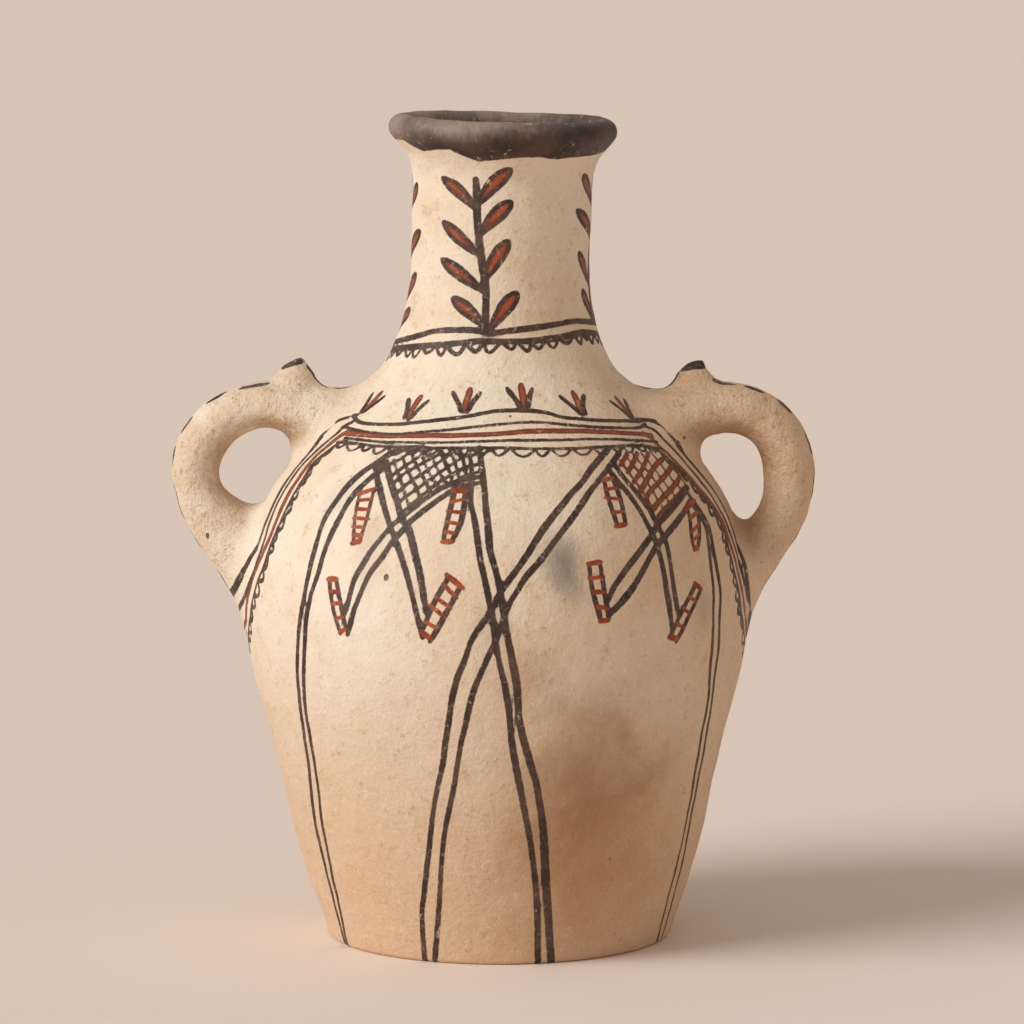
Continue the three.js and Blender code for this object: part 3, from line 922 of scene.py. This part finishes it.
def partFold(piece):
    editAll(piece)
    bpy.ops.mesh.select_mode(type="EDGE")
    bpy.ops.mesh.select_all(action="DESELECT")
    bpy.ops.mesh.edges_select_sharp(sharpness=math.radians(handleShape["fold"]))
    bpy.ops.mesh.mark_sharp()
    bpy.ops.mesh.select_mode(type="VERT")
    bpy.ops.object.mode_set(mode="OBJECT")


def finishHandle(piece, side):
    finishWith(piece, "SUBSURF", levels=3, render_levels=3)
    if side == "left":
        editAll(piece)
        scaleBy((-1, 1, 1))
        leaveEdit(outwards=True)
    wrapOnto(piece, jar, piece.vertex_groups[0].name, handleShape["seat"])
    gap = spreadSkirt(piece)
    for name in ("broad", "fine"):
        displace(piece, "handle_" + name, *handleShape[name])
    hugJar(piece, gap)
    partFold(piece)
    places = vertexPlaces(piece)
    upright = places - np.column_stack([leanShift(places[:, 2] / mm) * mm, 0 * places[:, :2]])
    radius = np.hypot(*upright[:, :2].T) / mm
    away = radius - outerRadius(upright[:, 2] / mm)
    brush = Brush(upright, away < handleShape["paintReach"])
    paintAll(brush)
    bare = np.where(places[:, 2] / mm > handleShape["bandAbove"], away - handleShape["bandReach"], -farAway)
    dark = np.minimum(np.maximum(brush.layers["dark"], bare), dashGap(places / mm, side))
    normals = readValues(piece.data.vertex_normals, "vector", 3)
    holeX, holeZ = handleShape["hole"]
    toHole = (math.copysign(holeX, places[0, 0]), holeZ) - places[:, ::2] / mm
    toHole /= np.maximum(np.hypot(*toHole.T), 1)[:, None]
    # painted shade: strap faces turned into the loop and away from the wall get a mark that darkens them
    # brown, standing in for the shade inside the loop
    soil = smoothStep(0.2, 0.95, np.sum(toHole * normals[:, ::2], axis=1)) * smoothStep(2, 12, away)
    storeLayers(piece, {**brush.layers, "dark": dark, "rim": farAway, "inside": 0,
                        "handle": smoothStep(1, 16, away), "soil": soil})


def dashGap(places, side):
    sign = -1 if side == "left" else 1
    gap = np.full(len(places), farAway)
    for start, end, around, width in handleDashes[side]:
        path = [spinePoint(side, stop, around) for stop in np.linspace(start, end, 6)]
        gap = np.minimum(gap, strokeGap(places, path, width / 2 * np.array([0.6, 1, 1.05, 1, 0.9, 0.5])))
    for line in saddleLines[side]:
        path = [np.array([x * sign, -1.5, z]) for x, z in line]
        gap = np.minimum(gap, strokeGap(places, path, np.linspace(1.9, 1.3, len(path))))
    return gap


handles = {}
for side in ("left", "right"):
    handles[side] = buildHandle(side)
    finishHandle(handles[side], side)
    print("handle built:", side)


# spurs pinched up on the handles

spurShape = {  # distance from the axis, height, length, width, lean
    "left": [(99, 267, 23, 15, 0), (98.5, 269.8, 17.5, 12.5, 0), (97.8, 271.8, 12.8, 10.2, 2),
             (97.3, 274.4, 9.5, 8.2, 4), (97.4, 277.2, 7.3, 6.5, 8), (97.8, 279.5, 5.9, 5, 14),
             (98.2, 280.9, 4.4, 3.6, 17)],
    "right": [(99, 266.6, 22, 15, 0), (98.5, 269.4, 16.5, 12.5, 0), (97.2, 271.6, 11.6, 9.8, 0),
              (96.4, 274.2, 8.6, 7.8, 0), (96.2, 277, 6.3, 6, -2), (96.8, 279.3, 4.7, 4.5, -6),
              (97.4, 280.8, 3.2, 3.2, -8)],
    "hold": [1, 0.8, 0.35], "sides": 16, "calm": 0.6, "seat": -0.00012,
    "inkDepth": {"left": 2.2, "right": 3.6},
}


def buildSpur(side):
    rings = spurShape[side]
    piece = startRing(spurShape["sides"])
    editAll(piece)
    x0, z0, long0, wide0, lean0 = rings[0]
    scaleBy((long0 * mm, wide0 * mm, 1))
    bpy.ops.transform.translate(value=(x0 * mm, 0, z0 * mm))
    for x, z, long, wide, lean in rings[1:]:
        spot = (x * mm, 0, z * mm)
        growBy(((x - x0) * mm, 0, (z - z0) * mm))
        scaleBy((long / long0, wide / wide0, 1), spot)
        turnBy(math.radians(lean0 - lean), spot)
        x0, z0, long0, wide0, lean0 = x, z, long, wide, lean
    leaveEdit()
    group = piece.vertex_groups.new(name="hold")
    for i, weight in enumerate(spurShape["hold"]):
        group.add([i * spurShape["sides"] + j for j in range(spurShape["sides"])], weight, "REPLACE")
    editAll(piece)
    bpy.ops.mesh.fill_holes(sides=0)
    if side == "left":
        scaleBy((-1, 1, 1))
    leaveEdit(outwards=True)
    finishWith(piece, "SUBSURF", levels=3, render_levels=3)
    wrapOnto(piece, handles[side], "hold", spurShape["seat"])
    size, strength = handleShape["fine"]
    displace(piece, "spur_fine", size, strength * spurShape["calm"])
    places = vertexPlaces(piece) / mm
    x, y, z = places.T
    slant = math.tan(math.radians(rings[-1][4])) * (np.abs(x) - rings[-1][0])
    dark = rings[-1][1] - spurShape["inkDepth"][side] - slant - z + 0.4 * np.sin(y * 0.7 + 1)
    dark = np.minimum(np.clip(dark, -farAway, farAway), dashGap(places, side))
    storeLayers(piece, {"dark": dark, "red": farAway, "over": farAway, "rim": farAway, "inside": 0,
                        "handle": 1, "soil": 0})
    return piece


spurs = {side: buildSpur(side) for side in ("left", "right")}
print("spurs built")


# the courses part from each other and each closes at its joints

def closeJoint(piece, joint):
    rings = (jointIndex["inner", joint], jointIndex["outer", joint])
    picked = np.isin(np.round(readValues(piece.data.attributes["along"].data, "value")), rings)
    edges = readValues(piece.data.edges, "vertices", 2).astype(int)
    makeActive(piece)
    piece.data.polygons.foreach_set("select", np.zeros(len(piece.data.polygons), bool))
    piece.data.edges.foreach_set("select", picked[edges].all(axis=1))
    piece.data.vertices.foreach_set("select", picked)
    bpy.ops.object.mode_set(mode="EDIT")
    bpy.ops.mesh.select_mode(type="EDGE")
    bpy.ops.mesh.bridge_edge_loops()
    selectAll()
    leaveEdit(outwards=True)


def partCourses():
    editAll(jar)
    bpy.ops.mesh.separate(type="MATERIAL")
    leaveEdit()
    parted = {}
    for piece in [o for o in bpy.data.objects if o.type == "MESH" and o.data.materials]:
        look = piece.data.materials[0]
        if look and look.name.startswith("split_"):
            parted[look.name[len("split_"):]] = piece
    for i, (name, slot) in enumerate(courses):
        for joint in (i - 1, i):
            if 0 <= joint < len(courses) - 1:
                closeJoint(parted[name], joint)
    return parted


pieces = partCourses()
pieces |= {f"handle_{side}": handles[side] for side in handles}
pieces |= {f"spur_{side}": spurs[side] for side in spurs}
print("courses parted")


# finishes

def tone(code):  # six letters and digits of a screen colour, as a linear colour
    parts = [int(code[i:i + 2], 16) / 255 for i in (0, 2, 4)]
    return tuple(c / 12.92 if c < 0.04045 else ((c + 0.055) / 1.055) ** 2.4 for c in parts) + (1,)


class Channel:
    def __init__(self, finish, socket):
        self.finish = finish
        self.socket = socket

    def combine(self, operation, first, second):
        return self.finish.add("ShaderNodeMath", {"operation": operation}, {0: first, 1: second})

    def most(self, other):
        return self.combine("MAXIMUM", self, other)

    def rise(self, low, high, bottom=0.0, top=1.0):
        inputs = {"Value": self, "From Min": low, "From Max": high, "To Min": bottom, "To Max": top}
        return self.finish.add("ShaderNodeMapRange", {"interpolation_type": "SMOOTHSTEP"}, inputs)


for sign, operation in (("add", "ADD"), ("sub", "SUBTRACT"), ("mul", "MULTIPLY"),
                        ("truediv", "DIVIDE"), ("pow", "POWER")):
    setattr(Channel, f"__{sign}__", lambda self, other, kind=operation: self.combine(kind, self, other))
    setattr(Channel, f"__r{sign}__", lambda self, other, kind=operation: self.combine(kind, other, self))


class Finish:
    def __init__(self, name):
        self.material = bpy.data.materials.new(name)
        self.material.use_nodes = True
        self.nodes = self.material.node_tree.nodes
        self.links = self.material.node_tree.links
        self.shader = self.nodes["Principled BSDF"]
        self.places = self.add("ShaderNodeTexCoord", {}, {}, "Object")
        self.axes = [self.add("ShaderNodeSeparateXYZ", {}, {0: self.places}, axis) for axis in "XYZ"]

    def feed(self, socket, value):
        if isinstance(value, Channel):
            self.links.new(value.socket, socket)
        else:
            socket.default_value = value

    def add(self, kind, settings, inputs, output=0):
        node = self.nodes.new(kind)
        for key, value in settings.items():
            setattr(node, key, value)
        for key, value in inputs.items():
            self.feed(node.inputs[key], value)
        return Channel(self, node.outputs[output])

    def noise(self, scale, detail=2.0, rough=0.5, stretch=None, warp=0.0):
        vector = self.places
        if stretch:
            vector = self.add("ShaderNodeMapping", {}, {"Vector": vector, "Scale": stretch})
        inputs = {"Vector": vector, "Scale": scale, "Detail": detail, "Roughness": rough, "Distortion": warp}
        return self.add("ShaderNodeTexNoise", {}, inputs)

    def layer(self, name):
        return self.add("ShaderNodeAttribute", {"attribute_name": name}, {}, "Fac")

    def mix(self, share, first, second, blend="MIX"):
        settings = {"data_type": "RGBA", "blend_type": blend}
        return self.add("ShaderNodeMix", settings, {0: share, 6: first, 7: second}, 2)

    def spot(self, place, wide, tall):
        halves = (wide, wide, tall)
        dx, dy, dz = ((axis - at * mm) / (half * mm) for axis, at, half in zip(self.axes, place, halves))
        return (dx * dx + dy * dy + dz * dz) ** 0.5

    def cells(self, scale):
        return self.add("ShaderNodeTexVoronoi", {}, {"Vector": self.places, "Scale": scale}, "Distance")

    def apply(self, color, rough, bumps):
        self.feed(self.shader.inputs["Base Color"], color)
        self.feed(self.shader.inputs["Roughness"], rough)
        self.shader.inputs["Specular IOR Level"].default_value = 0.35
        normal = None
        for height, strength, distance in bumps:
            inputs = {"Height": height, "Strength": strength, "Distance": distance}
            if normal:
                inputs["Normal"] = normal
            normal = self.add("ShaderNodeBump", {}, inputs)
        self.feed(self.shader.inputs["Normal"], normal)


finishWear = {"slip_clay": 0.30, "handle_clay": 0.38, "base_clay": 0.34, "rim_paint": 0.36}
# three tones here stand partly for light: the 96693F brown is painted shade inside the handle loops, the
# CFA67F tan is painted shade on the right side and a darker tan towards the bottom, and the A08C80 grey is
# dust and a painted highlight on the rim
clayTones = {
    "cream": "F2E2CD", "ochre": "E6CCAC", "stain": "CBA680", "painted_shade_and_low_tan": "CFA67F", "speck": "94704F",
    "chalk": "FBF1E4", "handle": "C7A17A", "soil": "96693F", "inside": "8E6E50", "dust": "A08C80",
    "pit": "5E4330",
}
inkTones = {
    "dark": ("3A2B25", "5C483D"), "red": ("763824", "A5522F"), "over": ("8A3A22", "B4552F"),
    "rim": ("3A2C27", "56423A"),
}
stains_and_painted_shade = [  # middle, half width and height in millimetres, strength, colour
    ((54, -90, 60), 80, 104, 0.60, "A8713F"), ((40, -100, 92), 50, 66, 0.45, "94603C"),
    # painted shade: the patch at (122, -14, 206) darkens the foot of the right handle's loop, where handle
    # and wall meet
    ((-66, -100, 170), 46, 70, 0.45, "FBF3E8"), ((122, -14, 206), 26, 30, 0.55, "96693F"),
    ((12, -120, 146), 28, 24, 0.34, "A5745A"), ((0, -122, 170), 17, 16, 0.28, "A09080"),
    ((31.6, -113, 199), 15, 21, 0.80, "7D7468"), ((36, -114, 186), 12, 15, 0.40, "8C8174"),
    ((-78, -80, 229), 16, 17, 0.30, "A39A8C"), ((-61, -103, 210), 18, 24, 0.34, "AE9478"),
    ((99, -72, 170), 14, 22, 0.35, "8D7A68"), ((-75, 90, 110), 46, 60, 0.45, "A97A55"),
    ((70, 95, 190), 20, 26, 0.40, "8C8174"),
]
pitMarks = [  # middle, half width and height in millimetres
    ((-50.5, -109, 190), 1.2, 1.7), ((-15, -107, 80), 1.2, 1.2), ((-139, -12, 207), 1.3, 2.6),
    ((-139, -13, 197), 1.0, 1.6),
]


def makeFinish(name):
    rub = finishWear[name] * 0.1
    clay = {key: tone(code) for key, code in clayTones.items()}
    ink = {key: [tone(code) for code in codes] for key, codes in inkTones.items()}
    f = Finish(name)
    across, back, up = f.axes
    broad = f.noise(11, 3, 0.55)
    middle = f.noise(38, 4, 0.6, warp=0.4)
    small = f.noise(150, 3, 0.6)
    grain = f.noise(480, 2, 0.6)
    dust = f.noise(1050, 1, 0.5)
    handle = f.layer("handle")
    color = f.mix((broad * 0.6 + middle * 0.4).rise(0.4, 0.66) * 0.75, clay["cream"], clay["ochre"])
    # painted shade: the right side, turned away from the key light, is tinted a darker, warmer tan; the clay
    # is also darker towards the bottom
    painted_shade_and_low_tan = (across + (broad - 0.5) * 0.12).rise(-0.02, 0.11) * 0.62
    painted_shade_and_low_tan = painted_shade_and_low_tan.most((up + (middle - 0.5) * 0.09).rise(0.19, 0.03) * 0.7)
    color = f.mix(painted_shade_and_low_tan, color, clay["painted_shade_and_low_tan"])
    color = f.mix((middle * 0.45 + small * 0.55).rise(0.54, 0.72) * 0.4, color, clay["stain"])
    color = f.mix(middle.rise(0.3, 0.7) * handle * 0.28, color, clay["handle"])
    # painted shade inside the handle loops: the mark laid on the handles darkens them brown
    color = f.mix(f.layer("soil") * (middle * 0.5 + 0.35), color, clay["soil"])
    color = f.mix((small * 0.4 + grain * 0.6).rise(0.55, 0.7) * (handle * 0.3 + 0.35), color, clay["speck"])
    color = f.mix(grain.rise(0.42, 0.26) * 0.3, color, clay["chalk"])
    for place, wide, tall, strength, code in stains_and_painted_shade:
        patch = (f.spot(place, wide, tall) + middle * 0.9 + small * 0.3 - 0.6).rise(1.0, 0.0)
        color = f.mix(patch * strength, color, tone(code))
    fray = (grain - 0.5) * 0.7 + (small - 0.5) * 0.55
    worn = f.noise(210, 4, 0.75, stretch=(1, 1, 0.6))
    wear = worn.rise(0.63 - rub, 0.75 - rub)
    keep = 1 - wear * 0.7
    thin = 1 - grain.rise(0.56, 0.8) * 0.3
    dark = (f.layer("dark") + fray).rise(0.3, -0.3) * keep * thin
    red = (f.layer("red") + fray).rise(0.35, -0.35) * thin * (1 - wear * 0.45)
    over = (f.layer("over") + fray).rise(0.3, -0.3) * keep
    chips = wear * (1 - (small * 0.6 + middle * 0.4).rise(0.45, 0.6)) * 0.8
    rim = (f.layer("rim") + (middle - 0.5) * 2.5 + fray * 1.1).rise(0.35, -0.35) * (1 - chips)
    core = (f.layer("red") + (small - 0.5) * 1.6).rise(-0.5, -1.7)
    color = f.mix(red, color, f.mix(core, *ink["red"]))
    color = f.mix(dark, color, f.mix((small * 0.5 + middle * 0.5).rise(0.38, 0.62), *ink["dark"]))
    color = f.mix(over, color, f.mix(small.rise(0.4, 0.65), *ink["over"]))
    # partly dust, partly painted highlight: the top of the rim and its left side, toward the key light, are
    # lightened toward a dusty grey
    dust_and_highlight = (up - across * 0.10 + (small - 0.5) * 0.012).rise(0.388, 0.401)
    rimTone = f.mix(middle.rise(0.38, 0.62), *ink["rim"])
    rimTone = f.mix(dust_and_highlight * (middle.rise(0.35, 0.6) * 0.45 + 0.42), rimTone, clay["dust"])
    color = f.mix(rim, color, rimTone)
    color = f.mix(f.layer("inside") * (1 - rim) * 0.85, color, clay["inside"])
    pits = (f.cells(80) + (small - 0.5) * 0.2).rise(0.06, 0.02) * middle.rise(0.56, 0.6)
    for place, wide, tall in pitMarks:
        pits = pits.most((f.spot(place, wide, tall) + (small - 0.5) * 1.2).rise(1.2, 0.6))
    color = f.mix(pits * 0.85, color, clay["pit"])
    paint = dark.most(red).most(rim)
    rough = (small * 0.16 + 0.64) - paint * 0.16
    grit = (grain * 0.7 + dust * 0.3) * (handle * 0.9 + 0.6) + small * (handle * 0.7 + 0.9)
    grit = grit - pits * 2 + paint * 0.12
    f.apply(color, rough, [(broad * 0.6 + middle * 0.4, 0.5, 0.004), (grit, 0.85, 0.0009)])
    return f.material


finishes = {name: makeFinish(name) for name in finishWear}
pieceSlots = dict(courses)
for side in ("left", "right"):
    pieceSlots["handle_" + side] = "handle_clay"
    pieceSlots["spur_" + side] = "handle_clay"
for name, piece in pieces.items():
    piece.name = "look_" + name
    piece.data.materials.clear()
    piece.data.materials.append(finishes[pieceSlots[name]])
    makeActive(piece)
    bpy.ops.object.shade_smooth_by_angle(angle=math.radians(50))
    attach(piece, "root")
    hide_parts(name)
print("finishes laid")


# floor and light

stageLook = {
    "floor": "EEDFD4", "size": 60, "world": 0.44, "worldTone": (1, 0.9, 0.78, 1),
    "key": 2.15, "keyTurn": (58, 0, -64), "keySoft": 35,
}


def buildStage():
    deselectAll()
    bpy.ops.mesh.primitive_plane_add(size=stageLook["size"], location=(0, 0, 0))
    floor = bpy.context.object
    floor.name = "floor"
    f = Finish("floor")
    f.shader.inputs["Base Color"].default_value = tone(stageLook["floor"])
    f.shader.inputs["Roughness"].default_value = 0.9
    f.shader.inputs["Specular IOR Level"].default_value = 0.1
    floor.data.materials.append(f.material)
    turn = [math.radians(a) for a in stageLook["keyTurn"]]
    bpy.ops.object.light_add(type="SUN", location=(-1, -1, 2), rotation=turn)
    key = bpy.context.object
    key.data.energy = stageLook["key"]
    key.data.angle = math.radians(stageLook["keySoft"])
    world = bpy.context.scene.world or bpy.data.worlds.new("world")
    bpy.context.scene.world = world
    world.use_nodes = True
    background = world.node_tree.nodes["Background"].inputs
    background["Color"].default_value = stageLook["worldTone"]
    background["Strength"].default_value = stageLook["world"]
    bpy.context.scene.view_settings.view_transform = "Standard"


buildStage()
print("stage set")
